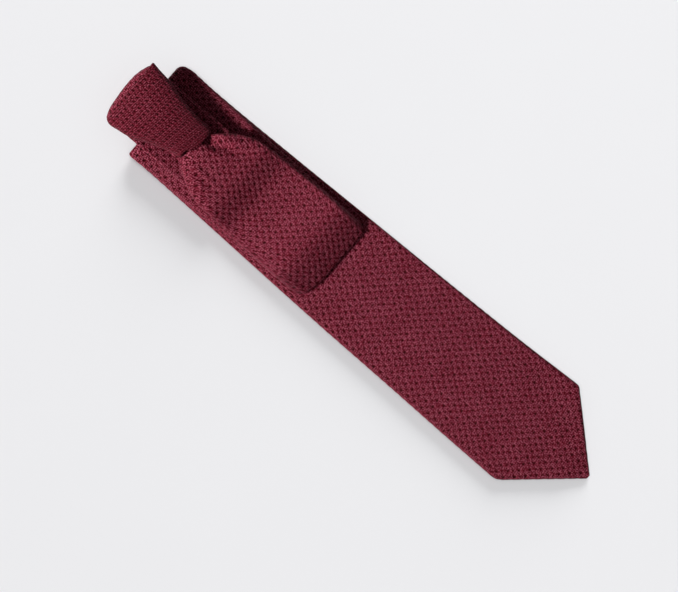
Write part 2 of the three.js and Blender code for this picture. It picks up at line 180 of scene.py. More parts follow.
def curve(points, x):
    """A smooth line through a few (x, value) points."""
    xs, values = (np.array(column, float) for column in zip(*points))
    slopes = np.gradient(values, xs)
    x = np.clip(x, xs[0], xs[-1])
    k = np.clip(np.searchsorted(xs, x, side="right") - 1, 0, len(xs) - 2)
    width = xs[k + 1] - xs[k]
    t = (x - xs[k]) / width
    return (
        values[k] * (1 + 2 * t) * (1 - t) ** 2
        + values[k + 1] * t**2 * (3 - 2 * t)
        + slopes[k] * width * t * (1 - t) ** 2
        - slopes[k + 1] * width * t**2 * (1 - t)
    )


def round_min(a, b, radius):
    """The smaller of two values, with the corner between them rounded."""
    share = np.clip(0.5 + 0.5 * (b - a) / radius, 0, 1)
    return b * (1 - share) + a * share - radius * share * (1 - share)


def evenly(start, end, step):
    """Evenly spaced values at about the given step."""
    gaps = max(1, round(abs(end - start) / step))
    return np.linspace(start, end, gaps + 1)


def add_object(name, data):
    thing = bpy.data.objects.new(name, data)
    bpy.context.scene.collection.objects.link(thing)
    return thing


def new_piece(name, points, faces, uv, material):
    """A mesh object from points and cloth coordinates in millimetres."""
    mesh = bpy.data.meshes.new(name)
    mesh.from_pydata((points * MM).tolist(), [], faces)
    layer = mesh.uv_layers.new(name="cloth")
    corners = np.zeros(len(mesh.loops), np.int32)
    mesh.loops.foreach_get("vertex_index", corners)
    layer.data.foreach_set("uv", (uv[corners] * MM).ravel())
    mesh.materials.append(material)
    mesh.shade_smooth()
    mesh.set_sharp_from_angle(angle=CREASE)
    return add_object(name, mesh)


def surface_normals(grid):
    normal = np.cross(np.gradient(grid, axis=0), np.gradient(grid, axis=1))
    return normal / np.maximum(np.linalg.norm(normal, axis=2, keepdims=True), 1e-9)


def closed_sheet(outer, inner):
    """Points and faces of a sheet: a fine outer grid, a coarser inner one, and its four edges."""
    fine = np.arange(outer[..., 0].size).reshape(outer.shape[:2])
    rough = fine.size + np.arange(inner[..., 0].size).reshape(inner.shape[:2])

    def quads(index):
        corners = (index[:-1, :-1], index[:-1, 1:], index[1:, 1:], index[1:, :-1])
        return np.stack(corners, axis=-1).reshape(-1, 4)

    faces = quads(fine).tolist() + quads(rough)[:, ::-1].tolist()
    for turns in range(4):
        fine_side, rough_side = np.rot90(fine, turns)[0], np.rot90(rough, turns)[0]
        gaps = (len(fine_side) - 1) // (len(rough_side) - 1)
        for k in range(len(rough_side) - 1):
            near, far = rough_side[k : k + 2].tolist()
            run = fine_side[k * gaps : (k + 1) * gaps + 1].tolist()
            middle = gaps // 2
            for i in range(gaps):
                faces.append([run[i + 1], run[i], near if i < middle else far])
            faces.append([near, far, run[middle]])
    points = np.concatenate([outer.reshape(-1, 3), inner.reshape(-1, 3)])
    return points, faces


def ring_faces(index):
    """Faces between closed rings of point numbers, one ring in each row."""
    beside = np.roll(index, -1, axis=1)
    return np.stack([index[:-1], beside[:-1], beside[1:], index[1:]], axis=-1).reshape(-1, 4).tolist()


def line_lengths(points):
    """The distance along a line of points, at each of them."""
    return np.concatenate([[0], np.cumsum(np.linalg.norm(np.diff(points, axis=0), axis=1))])


def volume(points, faces):
    """The volume inside closed faces: below 0 if they look inwards."""
    triangles = [(f[0], f[k], f[k + 1]) for f in faces for k in range(1, len(f) - 1)]
    a, b, c = (points[np.array(column)] for column in zip(*triangles))
    return np.einsum("ij,ij->", a, np.cross(b, c)) / 6


def sheet_piece(name, surface, cloth, thick, material, facing, relief=0.0, ratio=COARSE):
    """A closed sheet under a surface grid. facing is +1 or -1, so that the normals point out."""
    normal = surface_normals(surface) * facing
    outer = surface
    if relief:
        height = smooth_weave(cloth[..., 0], cloth[..., 1])
        outer = surface - normal * ((1 - height) * relief)[..., None]
    inner = (surface - normal * thick)[::ratio, ::ratio]
    points, faces = closed_sheet(outer, inner)
    uv = np.concatenate([cloth.reshape(-1, 2), cloth[::ratio, ::ratio].reshape(-1, 2)])
    if facing > 0:
        faces = [face[::-1] for face in faces]
    return new_piece(name, points, faces, uv, material)


# ---- A path that a strip follows, seen from the side ----


class Path:
    """Rows of a strip: x and z of its middle, the way its face looks, and the cloth's length."""

    def __init__(self, start_u, step):
        self.rows, self.u, self.step = [], start_u, step

    def flat(self, x0, x1, z, face):
        """A stretch from x0 to x1 at height z, a number or a function of x; face is +1 for up."""
        xs = evenly(x0, x1, self.step)
        zs = z(xs) if callable(z) else np.full_like(xs, z)
        self._add(xs, zs, 0 * xs, 0 * xs + face)

    def bend(self, x, z, radius0, radius1, depth, side, face, start=-90):
        """A turn round (x, z), from start to -start degrees, that reaches depth beyond it.

        Its half height goes from radius0 to radius1; face is +1 if the face is on the outside.
        """
        outer = max(radius0, radius1)
        length = math.pi * (outer + depth) / 2
        angle = np.radians(evenly(start, -start, 180 * self.step / length))
        share = (angle - angle[0]) / (angle[-1] - angle[0])
        radius = radius0 + (radius1 - radius0) * share
        reach = depth - outer + radius
        self._add(
            x + side * reach * np.cos(angle),
            z + radius * np.sin(angle),
            side * face * np.cos(angle),
            face * np.sin(angle),
        )

    def _add(self, *columns):
        start = 1 if self.rows else 0
        for row in list(zip(*columns))[start:]:
            if self.rows:
                last = self.rows[-1]
                self.u -= math.hypot(row[0] - last[0], row[1] - last[1])
            self.rows.append([*row, self.u])

    def table(self):
        """x, z, normal x, normal z and u of every row, resampled so that COARSE divides the gaps."""
        rows = np.array(self.rows)
        gaps = -(-(len(rows) - 1) // COARSE) * COARSE
        wanted = np.linspace(0, len(rows) - 1, gaps + 1)
        return [np.interp(wanted, np.arange(len(rows)), rows[:, k]) for k in range(5)]


# ---- The envelope of silk ----


def section(low, high, half, roll, seam, counts):
    """Columns of an envelope, from one flap's edge round the face to the other's.

    low, high, half, roll and seam have one value for each row. Returns y, the offset from the
    middle towards the face, the cloth coordinate across, and a mask that is 1 on the face and -1
    on the flaps.
    """
    flap, turn, face = counts
    low, high, half, roll, seam = (row[:, None] for row in (low, high, half, roll, seam))
    middle = (low + high) / 2
    t = np.linspace(0, 1, flap + 1)[None, :-1]
    a = np.radians(np.linspace(-90, 90, turn + 1))[None, :-1]
    quarter = np.pi / 2 * (half + roll) / 2

    def side(edge, sign):
        inner = edge - sign * roll
        start = middle + sign * seam
        flap_y = start + (inner - start) * t
        roll_y = inner + sign * roll * np.cos(a)
        flap_v = inner + sign * 2 * quarter + sign * np.abs(inner - flap_y)
        roll_v = inner + sign * quarter * (1 - a / (np.pi / 2))
        return np.stack([
            np.hstack([flap_y, roll_y]),
            np.hstack([-half + 0 * flap_y, half * np.sin(a)]),
            np.hstack([flap_v, roll_v]),
            np.hstack([0 * flap_y - 1, 0 * roll_y + np.maximum(np.sin(a), 0)]),
        ])

    face_y = low + roll + (high - low - 2 * roll) * np.linspace(0, 1, face + 1)[None, :]
    top = np.stack([face_y, half + 0 * face_y, face_y, 1 + 0 * face_y])
    return np.concatenate([side(low, -1), top, side(high, 1)[:, :, ::-1]], axis=2)


def counts_for(width, half, step):
    """Numbers of flap, roll and face columns whose gaps sum to a multiple of COARSE."""
    flap = max(2, round(width / 2 / (step * 1.5)))
    turn = max(6, round(math.pi * half / step / 0.8))
    face = max(4, round((width - 2 * half) / step))
    face += -(2 * flap + 2 * turn + face) % COARSE
    return flap, turn, face


def hides(piece, nodes, bodies):
    """The piece stands for CAD nodes, which it hides; it rides on one body, or else its transform is
    baked into its mesh.
    """
    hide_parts(*nodes)
    if len(bodies) == 1:
        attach(piece, bodies[0])
    else:
        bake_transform(piece)


def between(low, high, tilt=0.0):
    """Where a blend starts and ends, at two heights; a tilt makes it climb towards -X."""
    reach = (high - low) / (1 + tilt**2)
    return (0, 0, low * MM), (tilt * reach * MM, 0, (low + reach) * MM)


# ---- Materials ----


def new_material(name, roughness, specular, sheen, sheen_tint=(1, 1, 1)):
    material = bpy.data.materials.new(name)
    material.use_nodes = True
    tree = material.node_tree
    surface = tree.nodes["Principled BSDF"]
    looks = {
        "Roughness": roughness, "Specular IOR Level": specular, "Sheen Weight": sheen,
        "Sheen Roughness": 0.45, "Sheen Tint": (*sheen_tint, 1),
    }
    for socket, value in looks.items():
        surface.inputs[socket].default_value = value
    return material, tree, surface


def cloth_place(tree):
    """The two cloth coordinates of the surface, in millimetres, and their vector in metres."""
    uv = tree.nodes.new("ShaderNodeUVMap")
    uv.uv_map = "cloth"
    parts = tree.nodes.new("ShaderNodeSeparateXYZ")
    tree.links.new(uv.outputs[0], parts.inputs[0])
    u, v = (Field(tree, parts.outputs[k]) * (1 / MM) for k in (0, 1))
    return u, v, uv.outputs[0]


def noise(tree, vector, scale, detail=2.0):
    node = tree.nodes.new("ShaderNodeTexNoise")
    node.inputs["Scale"].default_value = scale
    node.inputs["Detail"].default_value = detail
    tree.links.new(vector, node.inputs["Vector"])
    return Field(tree, node.outputs["Fac"])


def tint(tree, surface, value, stops):
    """Colours the surface by a ramp from one tone to the next."""
    node = tree.nodes.new("ShaderNodeValToRGB")
    elements = node.color_ramp.elements
    while len(elements) < len(stops):
        elements.new(0.5)
    for element, (position, colour) in zip(elements, stops):
        element.position = position
        element.color = (*colour, 1)
    tree.links.new(value.socket, node.inputs[0])
    tree.links.new(node.outputs[0], surface.inputs["Base Color"])


def bump(tree, surface, height, distance, strength):
    node = tree.nodes.new("ShaderNodeBump")
    node.inputs["Distance"].default_value = distance
    node.inputs["Strength"].default_value = strength
    tree.links.new(height.socket, node.inputs["Height"])
    tree.links.new(node.outputs[0], surface.inputs["Normal"])


# Tones from the bottom of a hole to the top of a rope.
SILK_TONES = (
    (0.0, (0.018, 0.00001, 0.0003)),
    (0.3, (0.042, 0.0004, 0.003)),
    (0.6, (0.1, 0.0028, 0.0112)),
    (1.0, (0.25, 0.056, 0.084)),
)


def silk_material(name, shade):
    """The grenadine weave. shade shifts the whole tone; a lower one paints the knot's silk darker, as
    painted shade where the knot faces the key light.
    """
    material, tree, surface = new_material(name, 0.6, 0.05, 0.02, (1, 0.5, 0.6))
    u, v, vector = cloth_place(tree)
    # The threads wobble a little.
    wobble = noise(tree, vector, 400, 1) - 0.5
    height, aside = weave(u + wobble * 0.8, v - wobble * 0.8)
    rope, pick = (number + wobble * 0.25 for number in lattice(u, v))
    pips = sine(rope * (4 * math.pi)) * sine(pick * (4 * math.pi))
    across, along = sine(rope * math.pi), sine((pick + 0.5) * math.pi)
    # One dark hole to each rope and pick, longer along the ropes than across them.
    gaps = (across * across).math("POWER", 1.3) * (along * along).math("POWER", 3.6)
    ply = sine((pick * 3 + aside * 2.5) * (2 * math.pi)) * 0.5 + 0.5
    grain = noise(tree, vector, 1250, 1.5)
    fibre = noise(tree, vector, 3000, 2)
    mottle = noise(tree, vector, 60, 2)
    closed = (height * 2.0).math("MINIMUM", 1.0)
    tone = (closed - 1) * 0.5 - gaps * 0.46 + pips * 0.32
    tone = tone + (grain - 0.5) * 2.6 + (fibre - 0.5) * 0.3 + (mottle - 0.5) * 0.2 + ply * 0.06 + shade
    tint(tree, surface, tone, SILK_TONES)
    tree.links.new((fibre * 0.3 + 0.45).socket, surface.inputs["Roughness"])
    bump(tree, surface, height - gaps * 0.4 + pips * 0.3 + grain * 0.7 + fibre * 0.2, 0.0005, 0.9)
    return material


def plain_cloth(name, finish, waves, share, fibres, colours, relief):
    """A cloth with a pattern of threads, in waves to the millimetre, and a nap of fibres."""
    material, tree, surface = new_material(name, *finish)
    u, v, vector = cloth_place(tree)
    yarn = 1.0
    for along, across in waves:
        yarn = sine((u * along + v * across) * (2 * math.pi)) * yarn
    yarn = yarn * 0.5 + 0.5
    nap = noise(tree, vector, *fibres)
    tint(tree, surface, yarn * share + nap * (1 - share), colours)
    yarn_height, nap_height, distance, strength = relief
    bump(tree, surface, yarn * yarn_height + nap * nap_height, distance, strength)
    return material


silk = silk_material("grenadine_silk", 0.615)
# The knot's copy of the silk is darker all over: painted shade, since the knot faces the key light.
shaded_knot_silk = silk_material("grenadine_silk_painted_shade", 0.475)
lining = plain_cloth(
    "lining_satin", (0.38, 0.5, 0.15), [(2, 2)], 0.5, (400,),
    [(0.2, (0.035, 0.004, 0.009)), (0.9, (0.085, 0.012, 0.022))], (1, 0, 0.0001, 0.5),
)
wool = plain_cloth(
    "interlining_wool", (0.95, 0.15, 0.3), [(1 / 1.1, 0), (0, 1 / 0.9)], 0.4, (900, 4),
    [(0.2, (0.5, 0.44, 0.34)), (0.9, (0.8, 0.76, 0.66))], (0.5, 1, 0.0003, 0.7),
)
tape = plain_cloth(
    "label_tape", (0.4, 0.5, 0.1), [(0, 1 / 0.35)], 0.6, (700,),
    [(0.2, (0.012, 0.003, 0.005)), (0.9, (0.04, 0.009, 0.014))], (1, 0, 0.0001, 0.6),
)
thread = plain_cloth(
    "sewing_thread", (0.5, 0.4, 0.2), [(1 / 0.7, 1 / 0.5)], 0.7, (1200,),
    [(0.1, (0.04, 0.005, 0.01)), (0.9, (0.13, 0.02, 0.035))], (1, 0, 0.0001, 0.5),
)


# ---- Levels and outlines, from the CAD ----

BLADE_HIGH = span("blade_shell")[1]
MIDDLE_LOW, MIDDLE_HIGH = span("middle_shell")
UPPER_LOW = span("upper_shell")[0]
FRONT_LOW, FRONT_HIGH = span("front_fold_bend")
TAIL_LOW, TAIL_HIGH = span("tail_shell")

TIP_X = BLADE_HIGH[0]
BLADE_HALF = BLADE_HIGH[2] / 2
LAYER_HALF = (MIDDLE_HIGH[2] - MIDDLE_LOW[2]) / 2
MIDDLE_Z = (MIDDLE_HIGH[2] + MIDDLE_LOW[2]) / 2
BACK_FOLD_X = span("back_fold_bend")[0][0]
UPPER_FLAT_Z = UPPER_LOW[2]
SPLIT_X = -95  # where the lower and the upper silk meet, under the upper layer
SKEW_START_X = -150  # from here to the back fold the cloth follows its askew edge

# Outlines are (x, y) points of an edge, and profiles are (x, value) points.
BLADE_HIGH_EDGE = (
    (-178, 32.3), (-130, 32.3), (-100, 32.8), (-10, 34.9), (53, 36.5), (114, 38.5), (150, 40.4),
)
BLADE_LOW_EDGE = (
    (-178, -34.2), (-165, -34.3), (-106, -35.5), (-45, -37.2), (0, -38.3), (53, -39.0),
    (100, -39.8), (149, -40.3),
)
SHOULDER_HIGH = (150.3, 40.5)
SHOULDER_LOW = (149.0, -40.3)
TIP_Y = -0.3
TIP_HALF_WIDTH = 1.5
TIP_HALF = 1.2  # half the blade's thickness at its point
HEM = 13  # how far the flaps reach in where they open towards the point
LEAST_SEAM = 0.2  # half the gap between two flaps


def blade_half(x):
    """Half the blade's thickness, which thins towards its point."""
    return TIP_HALF + (BLADE_HALF - TIP_HALF) * ease((TIP_X - x) / 16)


def blade_edges(x):
    """The blade's two edges in plan, with its rounded shoulders and point."""

    def to_point(shoulder, end_y):
        share = (x - shoulder[0]) / (TIP_X - shoulder[0])
        return shoulder[1] + (end_y - shoulder[1]) * share

    high_line = to_point(SHOULDER_HIGH, TIP_Y + TIP_HALF_WIDTH)
    low_line = to_point(SHOULDER_LOW, TIP_Y - TIP_HALF_WIDTH)
    high_side = curve(BLADE_HIGH_EDGE, x) + np.maximum(x - BLADE_HIGH_EDGE[-1][0], 0) * 0.05
    low_side = curve(BLADE_LOW_EDGE, x)
    high = round_min(high_side, high_line, 1.6)
    low = -round_min(-low_side, -low_line, 3.2)
    return low, high


def blade_seam(x, low, high):
    """Half the gap between the blade's flaps, which opens towards the point."""
    opened = 0.6 + 0.44 * np.maximum(0, x - 92)
    return np.maximum(np.minimum(opened, (high - low) / 2 - HEM), LEAST_SEAM)


def layer_edges(x):
    """The middle layer's edges."""
    share = (x - MIDDLE_LOW[0]) / (MIDDLE_HIGH[0] - MIDDLE_LOW[0])
    return -34.5 + share * 1.8, 32.3 - share * 3.6


def back_fold_shift(y):
    """How far the back fold stands in from its furthest reach, at each distance across."""
    step = 12 * ease((8 - y) / 30)
    radius = 6
    corner = np.clip((y - (32.3 - radius)) / radius, 0, 1)
    return step + radius * (1 - np.sqrt(1 - corner**2))


def fold_skew(shift, start_x, fold_x, first_face, before=None):
    """Moves the rows near a fold so that its edge follows shift(y)."""

    def skew(x, y, normal_z):
        near = np.clip((x - start_x) / (fold_x - start_x), 0, 1)
        moved = shift(y)
        first = normal_z * first_face > 0.999
        share = np.where(first, near, 2 - near)
        stretch = first_face * share * moved
        if before is not None:
            stretch = stretch + before(x, y, first)
        return near * moved, stretch

    return skew


# ---- Envelopes ----


class Strip:
    """What a silk envelope and its wool share: their path, how they leave it, and their bodies."""

    def __init__(self, path, place, skew=None, swell=None, warp=None, facing=1):
        self.path, self.place, self.facing = path, place, facing
        self.skew, self.swell, self.warp = skew, swell, warp

    def swept(self, path, y, n, v):
        """Surface points n out from a path's rows, and their cloth coordinates."""
        x, z, normal_x, normal_z, u = (row[:, None] for row in path)
        point_x = x + normal_x * n
        cloth_u = u + 0 * y
        if self.skew is not None:
            shift, stretch = self.skew(x, y, normal_z)
            point_x = point_x + shift
            cloth_u = cloth_u + stretch
        surface = np.stack([point_x, y + 0 * point_x, z + normal_z * n], axis=-1)
        if self.warp is not None:
            surface[..., 2] += self.warp(path, surface)
        return surface, np.stack([cloth_u, v], axis=-1)

    def envelope(self, name, edges, half, seam, roll, nodes, flat, area=None, lift=None, wall=SILK,
                 relief=RELIEF, step=GRID):
        """Silk folded round the strip: its face, two rolled edges and two back flaps."""
        low, high = edges
        counts = counts_for(float(np.max(high - low)), float(np.max(half)), step)
        roll = np.minimum(roll, (high - low) / 2 - 0.15)
        y, n, v, mask = section(low, high, half, roll, seam, counts)
        if self.swell is not None:
            n = n + self.swell(self.path, y) * np.maximum(mask, 0)
        if lift is not None:
            n = n + lift(self.path, y) * (mask < 0)
        surface, cloth = self.swept(self.path, y, n, v)
        piece = sheet_piece(name, surface, cloth, wall, silk, self.facing, relief)
        hides(piece, nodes, self.place)

    def filling(self, name, edges, offset, inset, thick, nodes, flat, keep=slice(None), area=None):
        """The wool sheet inside the envelope, under its face; keep picks the rows that it fills."""
        low, high, offset = (row[keep][::WOOL_ROWS, None] for row in (*edges, offset))
        path = [row[keep][::WOOL_ROWS] for row in self.path]
        y = low + inset + (high - low - 2 * inset) * np.linspace(0, 1, 17)[None, :]
        n = offset + 0 * y
        if self.swell is not None:
            n = n + self.swell(path, y)
        if np.ndim(thick):
            thick = thick[keep][::WOOL_ROWS, None, None]
        surface, cloth = self.swept(path, y, n, y)
        piece = sheet_piece(name, surface, cloth, thick, wool, self.facing, ratio=1)
        hides(piece, nodes, self.place)


# ---- The lower silk: blade, back fold and half of the middle layer ----

BACK_FOLD_DEPTH = 3.0
BACK_FOLD_Z = (BLADE_HIGH[2] + MIDDLE_LOW[2]) / 2
BACK_BLEND = (BACK_FOLD_Z + 0.03, BACK_FOLD_Z + 0.08)  # a narrow zone half way up the fold
BACK_CENTRE_X = BACK_FOLD_X + BACK_FOLD_DEPTH + BLADE_HALF
FRONT_NOSE_HALF = 0.7  # half the pressed thickness of each layer at the front fold
FRONT_CENTRE_X = FRONT_HIGH[0] - 2 * FRONT_NOSE_HALF
FRONT_PRESS_X = -42  # the upper layer starts to slope down to the fold here
NOSE_BLEND = (4.85, 5.1)  # the fold's nose, measured up a line that tilts with the slope


def back_rise(x):
    """How far the seam on the back rises over the keeper loop and the label, and over the tack."""
    return 1.3 * plateau(x, -81, -12, 6, 6) + 0.9 * plateau(x, 75, 91, 6, 4)


def blade_lift(path, y):
    """The same rise for the blade's flaps, which fades towards its edges."""
    x, on_blade = path[0][:, None], path[3][:, None] > 0.99
    share = np.abs(y + 1.5) / 34
    return np.where(on_blade, back_rise(x) * ease((0.93 - share) / 0.12), 0)


def lower_silk():
    """The blade's piece of silk. Returns the cloth coordinate where the upper piece goes on."""
    route = Path(TIP_X, GRID)
    route.flat(TIP_X, BACK_CENTRE_X, blade_half, 1)
    route.bend(
        BACK_CENTRE_X, BACK_FOLD_Z, BACK_FOLD_Z - BLADE_HALF, MIDDLE_Z - BACK_FOLD_Z,
        BACK_FOLD_DEPTH, side=-1, face=-1,
    )
    route.flat(BACK_CENTRE_X, SPLIT_X, MIDDLE_Z, -1)
    path = route.table()
    x, normal_z = path[0], path[3]
    up = (1 + normal_z) / 2
    half = np.minimum(LAYER_HALF + (BLADE_HALF - LAYER_HALF) * up, blade_half(x))
    edges = [layer + (blade - layer) * up for layer, blade in zip(layer_edges(x), blade_edges(x))]
    seam = np.where(normal_z > 0, blade_seam(x, *blade_edges(x)), LEAST_SEAM)
    roll = half * (1 + 0.4 * ease((x - 146) / 8))
    strip = Strip(
        path, ("blade", "middle_layer", *between(*BACK_BLEND)),
        fold_skew(back_fold_shift, SKEW_START_X, BACK_CENTRE_X, 1), facing=-1,
    )
    strip.envelope(
        "blade_silk", edges, half, seam, roll, ["blade_shell", "back_fold_bend", "middle_shell"],
        (0.19, 0.46), 0.064, blade_lift,
    )
    strip.filling(
        "blade_wool", edges, half - SILK - 0.35, 3.0, 1.2, ["blade_interlining"], (0.08, 0.45),
        x < 178, 0.03,
    )
    return route.u


UPPER_THICKNESS = (
    (-140, 5.4), (-135, 6.4), (-130.5, 7.3), (-126, 7.8), (-118, 7.0), (-105, 4.8), (-90, 3.8),
    (-80, 3.6), (-66, 3.9), (-52, 5.8), (-42, 7.0), (0, 7.0),
)
UPPER_HIGH_EDGE = (
    (-140, 9.0), (-133, 8.6), (-130.7, 9.6), (-127.7, 12.6), (-124.7, 15.7), (-119.7, 19.4),
    (-114.7, 22.3), (-109.7, 24.5), (-104.7, 25.8), (-99.7, 26.5), (-89.7, 27.3), (-69.7, 27.8),
    (-49.7, 28.5), (-30, 28.7),
)
UPPER_LOW_EDGE = (
    (-140, -13.5), (-136, -14.6), (-134, -17.8), (-129.7, -21), (-124.7, -24), (-119.7, -26.5),
    (-114.7, -28.5), (-109.7, -29.6), (-99.7, -30.5), (-89.7, -30.8), (-69.7, -31.8),
    (-49.7, -32.6), (-30, -32.8),
)
UPPER_ROLL = (
    (-140, 7.0), (-130, 9.0), (-120, 8.0), (-110, 5.5), (-100, 3.6), (-88, 2.4), (-78, 1.9),
    (0, 1.8),
)
DIMPLE_LINE = (
    (-140, 5.8), (-131.7, 6.0), (-125, 7.2), (-119.7, 8.4), (-113.7, 10.6), (-107.7, 13.6),
    (-100, 17),
)
DIMPLE_DEPTH = (
    (-140, 7.5), (-131, 7.5), (-126, 7.0), (-121, 4.6), (-114, 2.2), (-107, 1.0), (-99, 0.0),
)
DIMPLE_WIDTH = ((-140, 2.6), (-131, 3.0), (-124, 3.4), (-113.7, 2.9), (-100, 3.4))


def upper_thickness(x):
    return curve(UPPER_THICKNESS, x)


def upper_edges(x):
    return curve(UPPER_LOW_EDGE, x), curve(UPPER_HIGH_EDGE, x)


def upper_bottom(x):
    rise = UPPER_LOW[2] + 8.2
    return rise - (rise - UPPER_FLAT_Z) * ease((x + 103) / 24)


def upper_swell(path, y):
    """The dimple under the knot, the roll beside it, and small pleats on its low side."""
    x = path[0][:, None]
    on_top = (path[3][:, None] > 0.99) & (x < -60)
    aside = (y - curve(DIMPLE_LINE, x)) / curve(DIMPLE_WIDTH, x)
    aside = np.where(aside < 0, aside * 0.72, aside)
    depth = curve(DIMPLE_DEPTH, x)
    groove = -depth * np.exp(-(aside**2)) + 0.22 * depth * np.exp(-(((aside - 1.9) / 0.9) ** 2))
    pleats = 0.35 * np.exp(-(((x + 117) / 9) ** 2)) * np.cos((y + 13) * 0.9) * ease((2 - y) / 12)
    return np.where(on_top, groove + pleats, 0)


def front_fold_shift(y):
    """The front fold's rounded corners, and the slant of its edge at the low side."""
    low, high = FRONT_LOW[1], FRONT_HIGH[1]
    corner = np.clip(1 - np.minimum(y - low, high - y) / 6, 0, 1)
    slant = -4.0 * np.clip((-y - 12) / 20, 0, 1) ** 1.5
    return slant - 5 * (1 - np.sqrt(1 - corner**2))


def split_stretch(x, y, first):
    """The skewed back fold leaves the cloth behind by twice its shift; this eases off unseen."""
    return np.where(first, 2 * back_fold_shift(y) * (1 - ease((x - SPLIT_X) / 50)), 0)


def pressed(x):
    """How far along its slope to the front fold the cloth is, from 0 to 1."""
    return np.clip((x - FRONT_PRESS_X) / (FRONT_CENTRE_X - FRONT_PRESS_X), 0, 1)


def layer_half(x, thickness):
    """Half a layer's thickness, thinner where it is pressed at the front fold."""
    return thickness / 2 + (FRONT_NOSE_HALF - thickness / 2) * pressed(x) ** 1.2


def middle_level(x):
    return MIDDLE_LOW[2] + layer_half(x, 2 * LAYER_HALF)


def upper_level(x):
    nose_top = MIDDLE_LOW[2] + 4 * FRONT_NOSE_HALF
    top = upper_bottom(x) + upper_thickness(x)
    top = top + (nose_top - top) * pressed(x) ** 1.5
    return top - layer_half(x, upper_thickness(x))


def upper_silk(start_u):
    route = Path(start_u, GRID)
    route.flat(SPLIT_X, FRONT_CENTRE_X, middle_level, -1)
    radius = FRONT_NOSE_HALF
    nose_z = MIDDLE_LOW[2] + 2 * radius
    route.bend(FRONT_CENTRE_X, nose_z, radius, radius, radius, side=1, face=1)
    route.flat(FRONT_CENTRE_X, -138, upper_level, 1)
    path = route.table()
    x, normal_z = path[0], path[3]
    up = (1 + normal_z) / 2
    half = layer_half(x, 2 * LAYER_HALF + (upper_thickness(x) - 2 * LAYER_HALF) * up)
    edges = [layer + (upper - layer) * up for layer, upper in zip(layer_edges(x), upper_edges(x))]
    roll = half + (curve(UPPER_ROLL, x) - LAYER_HALF) * up
    seam = np.full_like(x, LEAST_SEAM)
    strip = Strip(
        path, ("middle_layer", "knot_end", *between(*NOSE_BLEND, tilt=0.08)),
        fold_skew(front_fold_shift, -60, FRONT_CENTRE_X, -1, split_stretch), upper_swell, facing=-1,
    )
    strip.envelope(
        "upper_silk", edges, half, seam, roll, ["upper_shell", "front_fold_bend", "middle_shell"],
        (0.15, 0.25), 0.027,
    )
    room = 2 * (half - SILK)
    thick = np.clip(room - 0.3, 0.1, 1.2)
    inside = (x > -112) | (normal_z < 0.99)
    strip.filling(
        "upper_wool", edges, room / 2 - (room - thick) * 0.3, 2.6, thick,
        ["upper_interlining", "middle_interlining"], (0.06, 0.22), inside, 0.012,
    )


# ---- The knot ----

KNOT_CENTRE_Z = 22.6  # the height at which the knot is widest
KNOT_BOTTOM_Z = 17.5
KNOT_LOW_EDGE = (
    (-188, -26.2), (-184.7, -27.5), (-177.7, -26.9), (-169.7, -25.6), (-165, -24.2),
    (-159.7, -21.6), (-154.7, -19.6), (-149.7, -18), (-144.7, -16.2), (-137, -15), (-131, -15),
)
KNOT_HIGH_EDGE = (
    (-188, 20.2), (-183.7, 19.4), (-174.7, 18.3), (-169.7, 17.3), (-159.7, 14.7), (-149.7, 12.9),
    (-139.7, 11.8), (-133.7, 11.2), (-131, 10),
)
KNOT_TOP = ((-188, 28.4), (-180, 30.2), (-168, 30.9), (-145, 30.1), (-137, 29.2), (-131, 27.8))
WRAP_HALF = 0.9  # half the thickness of the folded wrap
KNOT_LEAN = 0.32  # how far the knot's crown stands to its low side
WRAP_HEM = 9  # how far each flap of the wrap reaches in from its edge
WRAP_START_X, WRAP_END_X = -188.2, -131.25
WRAP_STEPS = 144  # rows round the knot
# On the knot the cloth is pulled askew: distance between threads in mm, and the way it is measured.
KNOT_ROPES = (1.95, 127)
KNOT_PICKS = (2.75, 80)


def knot_point(x, angle, inset=0.0):
    """A point of the knot's skin. The angle is 90 on top and 180 on the low side."""
    low, high = curve(KNOT_LOW_EDGE, x) + inset, curve(KNOT_HIGH_EDGE, x) - inset
    turn = np.radians(angle)
    c, s = np.cos(turn), np.sin(turn)
    y = np.sign(c) * np.abs(c) ** 0.8 - KNOT_LEAN * np.maximum(s, 0) ** 2
    y = (low + high) / 2 + (high - low) / 2 * y
    up = curve(KNOT_TOP, x) - KNOT_CENTRE_Z - inset
    down = KNOT_CENTRE_Z - KNOT_BOTTOM_Z - inset
    z = KNOT_CENTRE_Z + np.where(s > 0, up, down) * np.sign(s) * np.abs(s) ** 0.8
    return np.stack([x + 0 * y, y, z], axis=-1)


def knot_cloth(x, arc):
    """Cloth coordinates on the knot, from a length along it and one round it."""
    rope, pick = (
        (x * math.cos(math.radians(way)) + arc * math.sin(math.radians(way))) / gap
        for gap, way in (KNOT_ROPES, KNOT_PICKS)
    )
    u = rope * ROPE_STEP[0] + pick * PICK_STEP[0]
    v = rope * ROPE_STEP[1] + pick * PICK_STEP[1]
    return np.stack([u, v], axis=-1)


